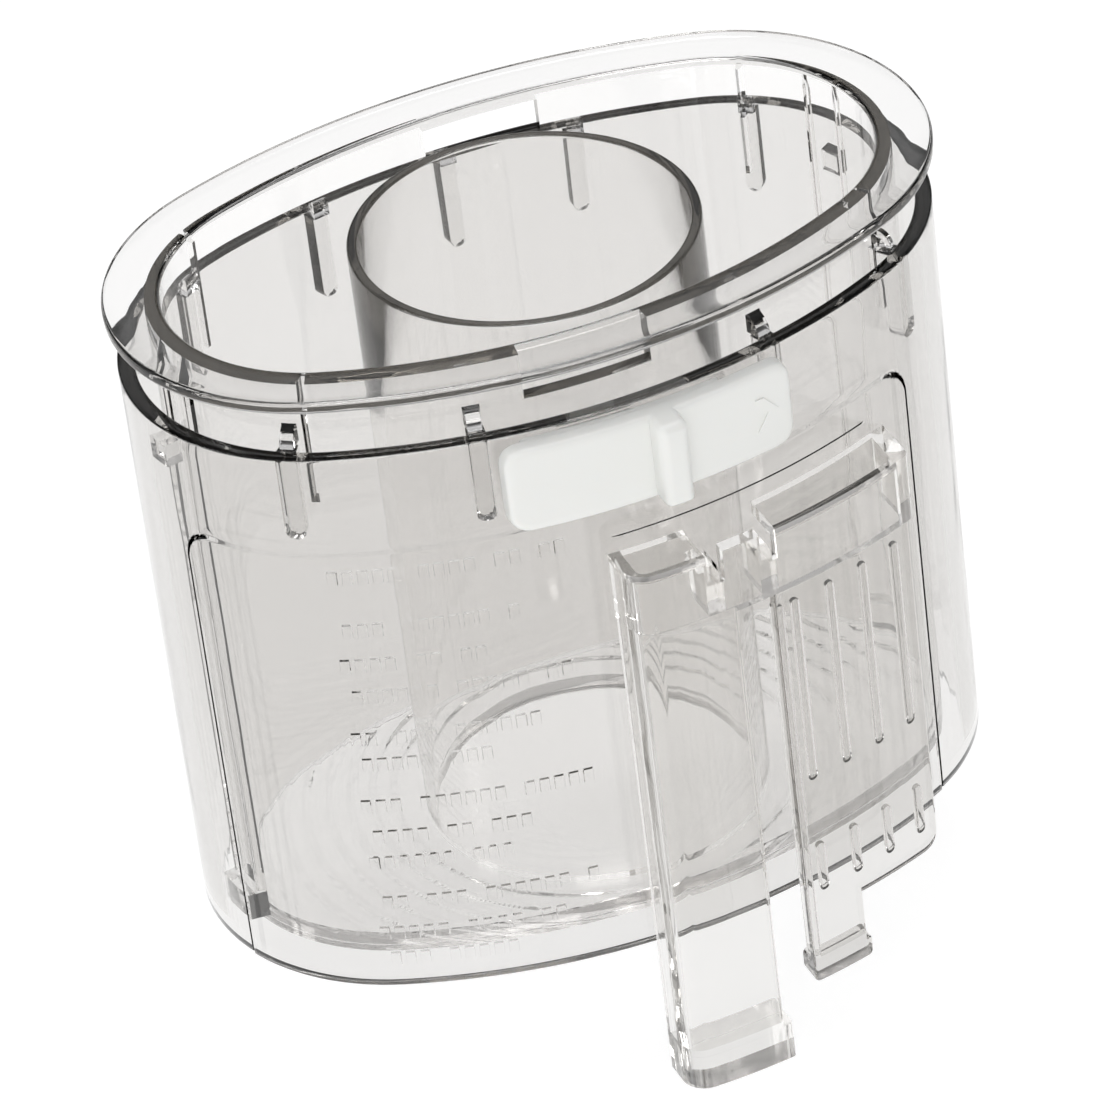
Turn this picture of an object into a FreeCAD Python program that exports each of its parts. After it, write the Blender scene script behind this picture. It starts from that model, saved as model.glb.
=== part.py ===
"""Large pusher and sleeve of a food processor: the clear feed-chute assembly.

Frame: +Z runs up the round feed tube, +X along the long axis of the oval, and the
lock slide, the interlock leg and the latch lever are on the -Y (front) side.
The origin is the centre of the sleeve's bottom mouth. Lengths are in millimetres.
"""
import FreeCAD
import Part
import math
import os

V = FreeCAD.Vector
UP = V(0, 0, 1)

# ---- Oval plan: four tangent arcs, given at the sleeve's outside face ----
END_X = 32.0                    # centres of the two end arcs, on the X axis
END_RADIUS = 36.2
FRONT_Y = 64.6                  # centre of the flatter front arc, behind the oval
BACK_Y = -86.0                  # centre of the back arc, in front of the oval
FRONT_RADIUS = END_RADIUS + math.hypot(END_X, FRONT_Y)
BACK_RADIUS = END_RADIUS + math.hypot(END_X, BACK_Y)
FRONT_TANGENT = math.degrees(math.atan2(FRONT_Y, END_X))
BACK_TANGENT = math.degrees(math.atan2(-BACK_Y, END_X))

# ---- Sleeve ----
SLEEVE_WALL = 2.8
SLEEVE_TOP = 103.9
RIM_ROUND = 0.7
SEAM = 0.02                     # hairline left between pieces that are welded together
PANEL_TOP = 86.0
PANEL_LEFT_ANGLE = 198.7        # ends of the front panel, as angles on the end arcs
PANEL_RIGHT_ANGLE = -60.1
PANEL_CORNER = 6.0
PANEL_GAP = 0.12
PANEL_PROUD = 0.3

# ---- Guide ribs inside the sleeve, and what rests on them ----
RIB_X_FRONT = (-54.2, -25.8, 25.3, 54.0)
RIB_X_BACK = (-53.0, -23.3, 1.3, 24.5, 53.8)
RIB_WIDTH = 3.0
RIB_BOTTOM = 88.0
RIB_TOP = 103.7
RIB_REACH = -5.3                # offset of the rib's inner face
STOP_ANGLES = ((1, 24.0), (-1, 189.0))
STOP_WIDTH = 4.5
STOP_BOTTOM = 95.0
STOP_TOP = 99.0

# ---- Pusher ----
PUSHER_OUT = -5.8               # offsets of the pusher's wall from the sleeve's outside
PUSHER_IN = -8.3
PUSHER_BOTTOM = 3.5
FLOOR_THICK = 2.5
FLANGE_OUT = 1.0
FLANGE_TOP = 115.4
FLANGE_THICK = 2.2
FLANGE_ROUND = 0.9
BASE_ROUND = 1.6
SLOT_X = (-51.5, 53.5)          # relief slots at the corners of the wall
SLOT_WIDTH = 0.8
SLOT_BOTTOM = 93.0
FLANGE_BOTTOM = FLANGE_TOP - FLANGE_THICK
WALL_TOP = FLANGE_BOTTOM - SEAM
WINDOW_BOTTOM = 106.2
BACK_WINDOW_X = (-3.0, 18.2)
FRONT_WINDOW_X = (-17.0, 5.5)
LUG_WIDTH = 2.4
LUG_HEIGHT = 3.2
LUG_ROOT = 0.5                  # how far the centre of a lug's curve lies inside the wall
LUG_GAP = 0.2
KEEPER_WIDTH = 8.0
KEEPER_HEIGHT = 5.0
KEEPER_REACH = -3.3

# ---- Feed tube ----
TUBE_Y = -1.4
TUBE_RADIUS = 28.5
TUBE_WALL = 1.8
TUBE_TOP = 113.1
TUBE_ROUND = 0.5

# ---- Lock slide on the front of the sleeve ----
BAR_X = (-23.9, 25.0)
BAR_Z = (88.3, 103.6)
BAR_IN = 1.6
BAR_OUT = 4.6
BAR_CORNER = 3.2
BAR_ROUND = 1.1
STEP_X = (-20.0, 14.0)          # thinner step behind the bar, against the sleeve
STEP_Z = (89.6, 103.2)
RUN_GAP = 0.3                   # air between the slide and the sleeve
GRIP_X = (-0.4, 4.6)
GRIP_OUT = 9.2
GRIP_ROUND = 1.9
NECK_X = (-10.0, -2.0)
NECK_Z = (93.8, 98.2)
LOCK_TRAVEL = 12.0
LOCK_WINDOW_Z = (93.2, 98.8)
TONGUE_X = (-12.0, 0.0)
TONGUE_Z = (91.8, 100.2)
TONGUE_REACH = -5.2
CATCH_X = (2.2, 11.0)
CATCH_Z = (88.4, 91.4)
CATCH_REACH = -3.6

# ---- Bracket, interlock leg and latch lever in front of the panel ----
BRACKET_X = (-8.2, 44.2)
BRACKET_Z = (65.5, 77.7)
BRACKET_OUT = 9.2
BAND_THICK = 2.4
LEDGE_THICK = 2.4
CHEEK_THICK = 2.4
WEB_X = (4.6, 14.2)
WEB_THICK = 3.0
NOTCH_DEPTH = 5.6
BRACKET_ROUND = 1.0
LEG_X = (-8.2, 9.2)
LEG_WALL = 2.2
LEG_CORNER = 4.0
LEG_BACK = PANEL_PROUD + RUN_GAP
FOOT_Z = (-26.0, -19.0)
FOOT_FLARE = 1.6
FOOT_ROUND = 1.0
LEVER_X = (16.2, 43.2)
LEVER_Z = (-0.5, 65.2)
LEVER_IN = 6.4
LEVER_OUT = 8.6
LEVER_CORNER = 3.0
LEVER_RIB_X = (20.0, 26.7, 33.3, 39.9)
LEVER_RIB_WIDTH = 1.7
LEVER_RIB_IN = 5.2
LONG_RIB_Z = (25.5, 61.5)
SHORT_RIB_Z = (3.0, 12.5)
DISH_X = 30.0
DISH_Z = 19.0
DISH_DEPTH = 1.1
DISH_RADIUS = 40.0
CATCH_LEG_X = (16.2, 26.8)
CATCH_LEG_BOTTOM = -14.0
HOOK_HEIGHT = 4.0
HOOK_IN = 3.4
HOOK_FLARE = 1.0
HOOK_ROUND = 1.2
HINGE_DROP = 1.1                # the lever flexes about a line this far below its top edge


def plan_edge(centre_x, centre_y, radius, start, end, z):
    return Part.makeCircle(radius, V(centre_x, centre_y, z), UP, start, end)


def oval_prism(offset, z_low, z_high):
    """Solid oval, its outline moved outward by offset from the sleeve's outside."""
    end_r = END_RADIUS + offset
    edges = [
        plan_edge(END_X, 0, end_r, -FRONT_TANGENT, BACK_TANGENT, z_low),
        plan_edge(0, BACK_Y, BACK_RADIUS + offset, BACK_TANGENT, 180 - BACK_TANGENT, z_low),
        plan_edge(-END_X, 0, end_r, 180 - BACK_TANGENT, 180 + FRONT_TANGENT, z_low),
        plan_edge(0, FRONT_Y, FRONT_RADIUS + offset, 180 + FRONT_TANGENT, 360 - FRONT_TANGENT, z_low),
    ]
    return Part.Face(Part.Wire(edges)).extrude(V(0, 0, z_high - z_low))


def oval_ring(outer, inner, z_low, z_high):
    return oval_prism(outer, z_low, z_high).cut(oval_prism(inner, z_low - 1, z_high + 1))


def box(x_range, y_range, z_range):
    size = [high - low for low, high in (x_range, y_range, z_range)]
    return Part.makeBox(*size, V(x_range[0], y_range[0], z_range[0]))


def front_strip(x_range, inner, outer, z_range):
    """Plate that follows the curved front, between two offsets from the sleeve."""
    return oval_ring(outer, inner, *z_range).common(box(x_range, (-90, 0), z_range))


def wall_place(x, side):
    """Angle of the wall's outward normal and the wall point at x, side -1 front, 1 back."""
    centre_y, radius = (FRONT_Y, FRONT_RADIUS) if side < 0 else (BACK_Y, BACK_RADIUS)
    tangent = FRONT_TANGENT if side < 0 else BACK_TANGENT
    if abs(x) <= radius * math.cos(math.radians(tangent)):
        angle = side * math.degrees(math.acos(x / radius))
        return angle, V(x, centre_y + radius * math.sin(math.radians(angle)), 0)
    centre_x = math.copysign(END_X, x)
    angle = side * math.degrees(math.acos((x - centre_x) / END_RADIUS))
    return angle, V(x, END_RADIUS * math.sin(math.radians(angle)), 0)


def end_place(side, angle):
    """The same for a point on an end arc, at a given angle."""
    turn = math.radians(angle)
    return angle, V(side * END_X + END_RADIUS * math.cos(turn), END_RADIUS * math.sin(turn), 0)


def normal_block(place, width, z_range, reach=12.0):
    """Box square to the wall, centred on a wall point and running through it."""
    angle, point = place
    block = box((-reach, reach), (-width / 2, width / 2), z_range)
    block.rotate(V(0, 0, 0), UP, angle)
    block.translate(point)
    return block


def edges_at(solid, z, tolerance=1e-4):
    """Edges that lie flat at height z."""
    return [e for e in solid.Edges if abs(e.BoundBox.ZMin - z) < tolerance
            and abs(e.BoundBox.ZMax - z) < tolerance]


def upright_edges(solid, x_limits):
    """Vertical edges whose x is one of the given limits."""
    found = []
    for edge in solid.Edges:
        bounds = edge.BoundBox
        if bounds.XLength < 1e-3 and bounds.YLength < 1e-3 and bounds.ZLength > 1:
            if any(abs(bounds.XMin - x) < 1e-2 for x in x_limits):
                found.append(edge)
    return found


def cross_edges(solid, z, x_limits):
    """Short edges through the plate's thickness, at height z and at given x."""
    return [e for e in edges_at(solid, z) if e.BoundBox.XLength < 1e-2
            and any(abs(e.BoundBox.XMin - x) < 0.05 for x in x_limits)]


def on_offset(edge, offset):
    """True where the middle of an edge is at the given offset from the sleeve's outside."""
    middle = edge.valueAt((edge.FirstParameter + edge.LastParameter) / 2)
    tangent_x = math.cos(math.radians(FRONT_TANGENT if middle.y < 0 else BACK_TANGENT))
    centre_y, radius = (FRONT_Y, FRONT_RADIUS) if middle.y < 0 else (BACK_Y, BACK_RADIUS)
    distance = math.hypot(middle.x, middle.y - centre_y)
    if abs(middle.x) > tangent_x * distance:
        distance = math.hypot(abs(middle.x) - END_X, middle.y)
        radius = END_RADIUS
    return abs(distance - radius - offset) < 0.05


def fuse(shapes):
    return shapes[0].fuse(shapes[1:]).removeSplitter()


# ---- Sleeve ----
def panel_window(inset):
    """Prism over the front of the sleeve that the panel fills, with rounded top corners."""
    turn = math.degrees(inset / END_RADIUS)
    reach = 80.0
    left = math.radians(PANEL_LEFT_ANGLE + turn)
    right = math.radians(PANEL_RIGHT_ANGLE - turn)
    far_left = V(-END_X + reach * math.cos(left), reach * math.sin(left), -1)
    far_right = V(END_X + reach * math.cos(right), reach * math.sin(right), -1)
    corners = [V(-END_X, 0, -1), far_left, V(far_left.x, -120, -1), V(far_right.x, -120, -1),
               far_right, V(END_X, 0, -1)]
    prism = Part.Face(Part.makePolygon(corners + corners[:1])).extrude(V(0, 0, PANEL_TOP - inset + 1))
    sides = [e for e in edges_at(prism, PANEL_TOP - inset) if abs(e.Length - reach) < 1e-3]
    return prism.makeFillet(PANEL_CORNER, sides)


def lock_window():
    """Opening in the sleeve for the neck of the lock slide, long enough for its travel."""
    play = 0.8
    x_range = (NECK_X[0] - play, NECK_X[1] + LOCK_TRAVEL + play)
    return box(x_range, (-60, -30), LOCK_WINDOW_Z)


def sleeve_shell():
    outside = oval_prism(0, 0, SLEEVE_TOP)
    outside = outside.makeFillet(RIM_ROUND, edges_at(outside, SLEEVE_TOP))
    shell = outside.cut(oval_prism(-SLEEVE_WALL, -1, SLEEVE_TOP + 1))
    return shell.cut([panel_window(0), lock_window()])


def front_panel():
    return oval_ring(PANEL_PROUD, -SLEEVE_WALL, 0, PANEL_TOP).common(panel_window(PANEL_GAP))


def rib_places():
    return [wall_place(x, -1) for x in RIB_X_FRONT] + [wall_place(x, 1) for x in RIB_X_BACK]


def guide_ribs():
    """Upright ribs with round lower ends that steady the pusher in the sleeve."""
    zone = oval_ring(-SLEEVE_WALL - SEAM, RIB_REACH, RIB_BOTTOM - 5, RIB_TOP)
    ribs = []
    for place in rib_places():
        angle, point = place
        body = normal_block(place, RIB_WIDTH, (RIB_BOTTOM + RIB_WIDTH / 2, RIB_TOP))
        turn = math.radians(angle)
        out = V(math.cos(turn), math.sin(turn), 0)
        start = point - out * 12 + V(0, 0, RIB_BOTTOM + RIB_WIDTH / 2)
        ribs.append(body.fuse(Part.makeCylinder(RIB_WIDTH / 2, 24, start, out)).common(zone))
    return Part.makeCompound(ribs)


def end_stops():
    """Small blocks inside the two ends of the sleeve that keep the pusher from coming out."""
    zone = oval_ring(-SLEEVE_WALL - SEAM, RIB_REACH, STOP_BOTTOM, STOP_TOP)
    blocks = [normal_block(end_place(*spot), STOP_WIDTH, (STOP_BOTTOM, STOP_TOP)).common(zone)
              for spot in STOP_ANGLES]
    return Part.makeCompound(blocks)


# ---- Pusher ----
def corner_slots():
    """Narrow upright slots at the four corners of the pusher's wall."""
    places = [wall_place(x, side) for x in SLOT_X for side in (-1, 1)]
    return [normal_block(place, SLOT_WIDTH, (SLOT_BOTTOM, WALL_TOP + 1)) for place in places]


def pusher_wall():
    outside = oval_prism(PUSHER_OUT, PUSHER_BOTTOM, WALL_TOP)
    outside = outside.makeFillet(BASE_ROUND, edges_at(outside, PUSHER_BOTTOM))
    wall = outside.cut(oval_prism(PUSHER_IN, PUSHER_BOTTOM - 1, WALL_TOP + 1))
    windows = [box(BACK_WINDOW_X, (20, 60), (WINDOW_BOTTOM, WALL_TOP + 1)),
               box(FRONT_WINDOW_X, (-60, -20), (WINDOW_BOTTOM, WALL_TOP + 1))]
    return wall.cut(windows + corner_slots())


def pusher_flange():
    """Flat ring on top of the wall that the palm pushes on, all its edges rounded."""
    outside = oval_prism(FLANGE_OUT, FLANGE_BOTTOM, FLANGE_TOP)
    lip = edges_at(outside, FLANGE_TOP) + edges_at(outside, FLANGE_BOTTOM)
    outside = outside.makeFillet(FLANGE_ROUND, lip)
    ring = outside.cut(oval_prism(PUSHER_IN, FLANGE_BOTTOM - 1, FLANGE_TOP + 1))
    mouth = [e for e in edges_at(ring, FLANGE_TOP) if on_offset(e, PUSHER_IN)]
    return ring.makeFillet(FLANGE_ROUND, mouth)


def pusher_floor():
    floor = oval_prism(PUSHER_IN - SEAM, PUSHER_BOTTOM, PUSHER_BOTTOM + FLOOR_THICK)
    hole = Part.makeCylinder(TUBE_RADIUS + SEAM, 20, V(0, TUBE_Y, PUSHER_BOTTOM - 5))
    return floor.cut(hole)


def feed_tube():
    height = TUBE_TOP - PUSHER_BOTTOM
    foot = V(0, TUBE_Y, PUSHER_BOTTOM)
    tube = Part.makeCylinder(TUBE_RADIUS, height, foot).cut(
        Part.makeCylinder(TUBE_RADIUS - TUBE_WALL, height, foot))
    return tube.makeFillet(TUBE_ROUND, edges_at(tube, TUBE_TOP))


def rest_lugs():
    """Quarter-round lugs on the pusher's wall that come down on top of the guide ribs."""
    low = RIB_TOP + LUG_GAP
    cup = oval_prism(PUSHER_OUT + SEAM, low - 1, low + LUG_HEIGHT + 1)
    lugs = []
    for place in rib_places():
        angle, point = place
        turn = math.radians(angle)
        out = V(math.cos(turn), math.sin(turn), 0)
        along = V(-math.sin(turn), math.cos(turn), 0)
        root = point + out * (PUSHER_OUT - LUG_ROOT) - along * (LUG_WIDTH / 2) + V(0, 0, low)
        tip = root + out * LUG_HEIGHT
        crown = root + UP * LUG_HEIGHT
        middle = root + (out + UP) * (LUG_HEIGHT / math.sqrt(2))
        curve = Part.Arc(tip, middle, crown).toShape()
        outline = Part.Wire([Part.makeLine(root, tip), curve, Part.makeLine(crown, root)])
        lugs.append(Part.Face(outline).extrude(along * LUG_WIDTH).cut(cup))
    return Part.makeCompound(lugs)


def keeper_lugs():
    """Lugs low on the pusher's ends that meet the sleeve's end stops at full lift."""
    z_range = (PUSHER_BOTTOM + BASE_ROUND, PUSHER_BOTTOM + BASE_ROUND + KEEPER_HEIGHT)
    zone = oval_ring(KEEPER_REACH, PUSHER_OUT + SEAM, *z_range)
    blocks = [normal_block(end_place(*spot), KEEPER_WIDTH, z_range).common(zone) for spot in STOP_ANGLES]
    return Part.makeCompound(blocks)


def lock_catch():
    """Ledge on the pusher's wall that the lock tongue slides over."""
    return front_strip(CATCH_X, PUSHER_OUT + SEAM, CATCH_REACH, CATCH_Z)


# ---- Lock slide ----
def lock_slide():
    bar = front_strip(BAR_X, BAR_IN, BAR_OUT, BAR_Z)
    bar = bar.makeFillet(BAR_CORNER, cross_edges(bar, BAR_Z[0], BAR_X) + cross_edges(bar, BAR_Z[1], BAR_X))
    outer = [e for e in bar.Edges if e.BoundBox.ZLength < 20 and all(
        abs(math.hypot(v.X, v.Y - FRONT_Y) - FRONT_RADIUS - BAR_OUT) < 1e-3 for v in e.Vertexes)]
    bar = bar.makeFillet(BAR_ROUND, outer)
    grip = box(GRIP_X, (-60, -30), BAR_Z).common(oval_ring(GRIP_OUT, BAR_IN, *BAR_Z))
    nose = [e for e in grip.Edges if all(
        abs(math.hypot(v.X, v.Y - FRONT_Y) - FRONT_RADIUS - GRIP_OUT) < 1e-3 for v in e.Vertexes)]
    grip = grip.makeFillet(GRIP_ROUND, nose)
    step = front_strip(STEP_X, RUN_GAP, BAR_IN, STEP_Z)
    neck = front_strip(NECK_X, -SLEEVE_WALL - RUN_GAP + SEAM, RUN_GAP, NECK_Z)
    return fuse([bar, grip, step, neck])


def lock_tongue():
    """Block snapped on the neck inside the sleeve: it holds the slide on, and locks the pusher."""
    return front_strip(TONGUE_X, TONGUE_REACH, -SLEEVE_WALL - RUN_GAP, TONGUE_Z)


# ---- Bracket, leg and lever ----
def sleeve_bracket():
    low, high = BRACKET_Z
    inner = PANEL_PROUD + SEAM
    band = front_strip(BRACKET_X, BRACKET_OUT - BAND_THICK, BRACKET_OUT, BRACKET_Z)
    parts = [band]
    web_right = WEB_X[1] + WEB_THICK
    for span in ((BRACKET_X[0], WEB_X[0]), (web_right, BRACKET_X[1])):
        parts.append(front_strip(span, inner, BRACKET_OUT, (high - LEDGE_THICK, high)))
    for x in (BRACKET_X[0], BRACKET_X[1] - CHEEK_THICK):
        parts.append(front_strip((x, x + CHEEK_THICK), inner, BRACKET_OUT, BRACKET_Z))
    for x in WEB_X:
        parts.append(front_strip((x, x + WEB_THICK), inner, BRACKET_OUT, (low, high - NOTCH_DEPTH)))
    bracket = fuse(parts)
    notches = [box((x, x + WEB_THICK), (-70, -30), (high - NOTCH_DEPTH, high + 1)) for x in WEB_X]
    bracket = bracket.cut(notches)
    bracket = bracket.makeFillet(LEG_CORNER, outer_corner(bracket, BRACKET_X[0]))
    return bracket.makeFillet(BRACKET_ROUND, outer_corner(bracket, BRACKET_X[1]))


def outer_corner(block, x):
    """Upright edge where a block's front face meets its side at x."""
    return [e for e in upright_edges(block, (x,))
            if math.hypot(e.BoundBox.XMin, e.BoundBox.YMin - FRONT_Y) > FRONT_RADIUS + BRACKET_OUT - 0.1]


def interlock_leg():
    """Long open channel: a curved face, a round left corner and a side wall."""
    z_range = (FOOT_Z[1] + SEAM, BRACKET_Z[0] - SEAM)
    block = front_strip(LEG_X, LEG_BACK, BRACKET_OUT, z_range)
    block = block.makeFillet(LEG_CORNER, outer_corner(block, LEG_X[0]))
    hollow = front_strip((LEG_X[0] + LEG_WALL, LEG_X[1] + 1), LEG_BACK - 5, BRACKET_OUT - LEG_WALL,
                         (z_range[0] - 1, z_range[1] + 1))
    inside = [e for e in upright_edges(hollow, (LEG_X[0] + LEG_WALL,))
              if math.hypot(e.BoundBox.XMin, e.BoundBox.YMin - FRONT_Y) > FRONT_RADIUS + LEG_BACK]
    return block.cut(hollow.makeFillet(LEG_CORNER - LEG_WALL, inside))


def interlock_foot():
    """Closed block on the end of the leg, a little wider on its right."""
    foot = front_strip((LEG_X[0], LEG_X[1] + FOOT_FLARE), LEG_BACK, BRACKET_OUT, FOOT_Z)
    foot = foot.makeFillet(LEG_CORNER, outer_corner(foot, LEG_X[0]))
    return foot.makeFillet(FOOT_ROUND, edges_at(foot, FOOT_Z[0]))


def lever_axis():
    """Point on the lever's hinge line and the direction of that line."""
    x = (LEVER_X[0] + LEVER_X[1]) / 2
    radius = FRONT_RADIUS + (LEVER_IN + LEVER_OUT) / 2
    turn = math.asin(x / radius)
    point = V(x, FRONT_Y - radius * math.cos(turn), LEVER_Z[1] - HINGE_DROP)
    return point, V(math.cos(turn), math.sin(turn), 0)


def latch_lever():
    """Curved press plate with a thumb dish, a side wall and a short hooked leg."""
    plate = front_strip(LEVER_X, LEVER_IN, LEVER_OUT, LEVER_Z)
    plate = plate.makeFillet(LEVER_CORNER, cross_edges(plate, LEVER_Z[0], LEVER_X[1:]))
    leg = front_strip(CATCH_LEG_X, LEVER_IN, LEVER_OUT, (CATCH_LEG_BOTTOM, LEVER_Z[0] + LEVER_CORNER))
    hook_z = (CATCH_LEG_BOTTOM, CATCH_LEG_BOTTOM + HOOK_HEIGHT)
    hook = front_strip((CATCH_LEG_X[0], CATCH_LEG_X[1] + HOOK_FLARE), HOOK_IN, LEVER_OUT, hook_z)
    hook = hook.makeFillet(HOOK_ROUND, edges_at(hook, CATCH_LEG_BOTTOM))
    side = front_strip((LEVER_X[0], LEVER_X[0] + LEVER_RIB_WIDTH), LEVER_RIB_IN, LEVER_IN,
                       (hook_z[1], LONG_RIB_Z[1]))
    lever = fuse([plate, leg, hook, side])
    radius = FRONT_RADIUS + LEVER_OUT
    turn = math.asin(DISH_X / radius)
    out = V(math.sin(turn), -math.cos(turn), 0)
    surface = V(DISH_X, FRONT_Y - radius * math.cos(turn), DISH_Z)
    return lever.cut(Part.makeSphere(DISH_RADIUS, surface + out * (DISH_RADIUS - DISH_DEPTH)))


def latch_ribs():
    """Upright stiffening ribs behind the press plate, above and below the thumb dish."""
    ribs = []
    for x in LEVER_RIB_X:
        span = (x - LEVER_RIB_WIDTH / 2, x + LEVER_RIB_WIDTH / 2)
        for z_range in (LONG_RIB_Z, SHORT_RIB_Z):
            ribs.append(front_strip(span, LEVER_RIB_IN, LEVER_IN - SEAM, z_range))
    return Part.makeCompound(ribs)


NODES = {
    "sleeve_shell": sleeve_shell,
    "front_panel": front_panel,
    "guide_ribs": guide_ribs,
    "end_stops": end_stops,
    "sleeve_bracket": sleeve_bracket,
    "interlock_leg": interlock_leg,
    "interlock_foot": interlock_foot,
    "pusher_wall": pusher_wall,
    "pusher_flange": pusher_flange,
    "pusher_floor": pusher_floor,
    "feed_tube": feed_tube,
    "rest_lugs": rest_lugs,
    "keeper_lugs": keeper_lugs,
    "lock_catch": lock_catch,
    "lock_slide": lock_slide,
    "lock_tongue": lock_tongue,
    "latch_lever": latch_lever,
    "latch_ribs": latch_ribs,
}

os.makedirs("parts", exist_ok=True)
for name, make in NODES.items():
    shape = make()
    if not shape.isValid():
        print("not valid:", name)
    size = shape.BoundBox
    print("%-16s solids %2d volume %9.1f  x %.1f..%.1f  y %.1f..%.1f  z %.1f..%.1f" % (
        name, len(shape.Solids), shape.Volume, size.XMin, size.XMax,
        size.YMin, size.YMax, size.ZMin, size.ZMax))
    shape.exportStep("parts/%s.step" % name)
hinge_point, hinge_line = lever_axis()
print("lever hinge", hinge_point, hinge_line)
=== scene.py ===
# %% [markdown]
# # The large pusher and sleeve of a food processor
# The real thing is a set of mouldings, all clear but one: an oval sleeve, a pusher cup with
# a broad flange, a round feed tube inside it, a white lock slide, and a bracket with a long
# interlock leg and a springy latch lever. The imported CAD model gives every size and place,
# so it is loaded first and never moved. The mouldings are then made again as smooth
# meshes, because clear plastic shows each facet and each seam.

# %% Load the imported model
import math

import bpy
import numpy as np
from mathutils import Matrix, Vector


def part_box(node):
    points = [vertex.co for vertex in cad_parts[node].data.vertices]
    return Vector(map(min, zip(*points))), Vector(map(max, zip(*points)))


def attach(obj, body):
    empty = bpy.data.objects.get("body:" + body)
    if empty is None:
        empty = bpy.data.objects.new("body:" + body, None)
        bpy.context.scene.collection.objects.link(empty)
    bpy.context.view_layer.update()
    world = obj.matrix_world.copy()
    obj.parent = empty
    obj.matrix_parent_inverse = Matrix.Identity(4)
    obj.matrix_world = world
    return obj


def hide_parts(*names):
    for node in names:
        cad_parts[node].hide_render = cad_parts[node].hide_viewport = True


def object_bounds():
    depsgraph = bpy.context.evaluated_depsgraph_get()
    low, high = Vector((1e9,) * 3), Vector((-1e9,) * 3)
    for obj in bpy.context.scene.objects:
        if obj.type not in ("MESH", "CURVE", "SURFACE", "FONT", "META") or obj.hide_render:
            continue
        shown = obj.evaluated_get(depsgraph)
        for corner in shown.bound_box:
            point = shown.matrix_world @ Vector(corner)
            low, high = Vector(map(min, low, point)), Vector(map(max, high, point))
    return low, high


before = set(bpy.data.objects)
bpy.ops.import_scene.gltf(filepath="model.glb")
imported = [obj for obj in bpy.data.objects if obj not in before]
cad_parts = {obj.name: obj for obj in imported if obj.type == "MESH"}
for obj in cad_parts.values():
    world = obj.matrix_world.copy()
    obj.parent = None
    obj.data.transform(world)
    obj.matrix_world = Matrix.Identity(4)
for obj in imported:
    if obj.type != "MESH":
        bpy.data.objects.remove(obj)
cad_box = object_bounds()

MM = 0.001
print("nodes:", ", ".join(sorted(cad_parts)))


def node_box(name):
    """Lowest and highest corner of a CAD node, in millimetres."""
    low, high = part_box(name)
    return low / MM, high / MM


# %% [markdown]
# ## The oval plan
# Seen from above the sleeve is an oval of four tangent arcs: two tight ones at the ends and
# two flatter ones at the front and back. Such a closed convex curve has one place for each
# direction of its outward normal, so that direction, called the turn here, is a handy way
# to name a place on the wall. Moving a point along the normal by an offset gives every
# parallel wall, and the arcs' radii follow from the sleeve's own box.

# %% Arcs of the oval, from the sleeve's box
END_X = 32.0
shell_low, shell_high = node_box("sleeve_shell")
end_radius = shell_high.x - END_X


def far_centre(reach):
    """How far behind the axis an arc's centre lies, if the arc comes out to reach."""
    swell = reach - end_radius
    return (END_X ** 2 - swell ** 2) / (2 * swell)


front_centre = far_centre(-shell_low.y)
back_centre = -far_centre(shell_high.y)
front_radius = front_centre - shell_low.y
back_radius = shell_high.y - back_centre
front_turn = math.atan2(END_X, front_centre)
back_turn = math.atan2(END_X, -back_centre)
print("front radius %.1f, back radius %.1f, end radius %.1f" % (front_radius, back_radius, end_radius))


def arc_of(turn):
    """Centre and radius of the arc that has this outward direction."""
    if abs(turn) <= front_turn:
        return 0.0, front_centre, front_radius
    if abs(turn) >= math.pi - back_turn:
        return 0.0, back_centre, back_radius
    return math.copysign(END_X, turn), 0.0, end_radius


def wall_xy(turn, offset=0.0):
    """Plan position of the wall at a turn, moved outward by an offset."""
    x, y, radius = arc_of(turn)
    return x + (radius + offset) * math.sin(turn), y - (radius + offset) * math.cos(turn)


def turn_at(x, side):
    """Turn of the wall at x, on the front (side -1) or the back (side 1)."""
    radius, limit = (front_radius, front_turn) if side < 0 else (back_radius, back_turn)
    if abs(x) <= radius * math.sin(limit):
        lean = math.asin(x / radius)
    else:
        lean = math.asin((x - math.copysign(END_X, x)) / end_radius)
    return lean if side < 0 else math.copysign(math.pi, lean) - lean


def along_wall(turns):
    """Length along the outside of the wall from the middle of the front, in millimetres."""
    turns = np.asarray(turns)
    flat = np.clip(np.abs(turns), 0, front_turn)
    return np.sign(turns) * (flat * front_radius + (np.abs(turns) - flat) * end_radius)


def turn_along(length):
    """Turn of the place at a length along the front of the wall from its middle."""
    flat = front_turn * front_radius
    if abs(length) <= flat:
        return length / front_radius
    return math.copysign(front_turn + (abs(length) - flat) / end_radius, length)


# %% [markdown]
# ## Lines where a wall needs detail
# A moulded wall is one grid of quads: lines run round it and up it. Plain stretches need
# few lines and details need many, so the grid takes an even spread plus a close set at each
# detail. This keeps the mesh clean, with no cut faces, which a boolean would leave.

# %% Spacing helpers
def merge_lines(even, close, least):
    """Sorted grid lines: all the close ones, and the even ones that are not too near them."""
    close = sorted(set(round(v, 7) for v in close))
    kept = []
    for value in close:
        if not kept or value - kept[-1] > least * 0.2:
            kept.append(value)
    marks = np.array(kept)
    spread = [v for v in even if not len(marks) or np.min(np.abs(marks - v)) > least]
    return np.array(sorted(kept + spread))


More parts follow.
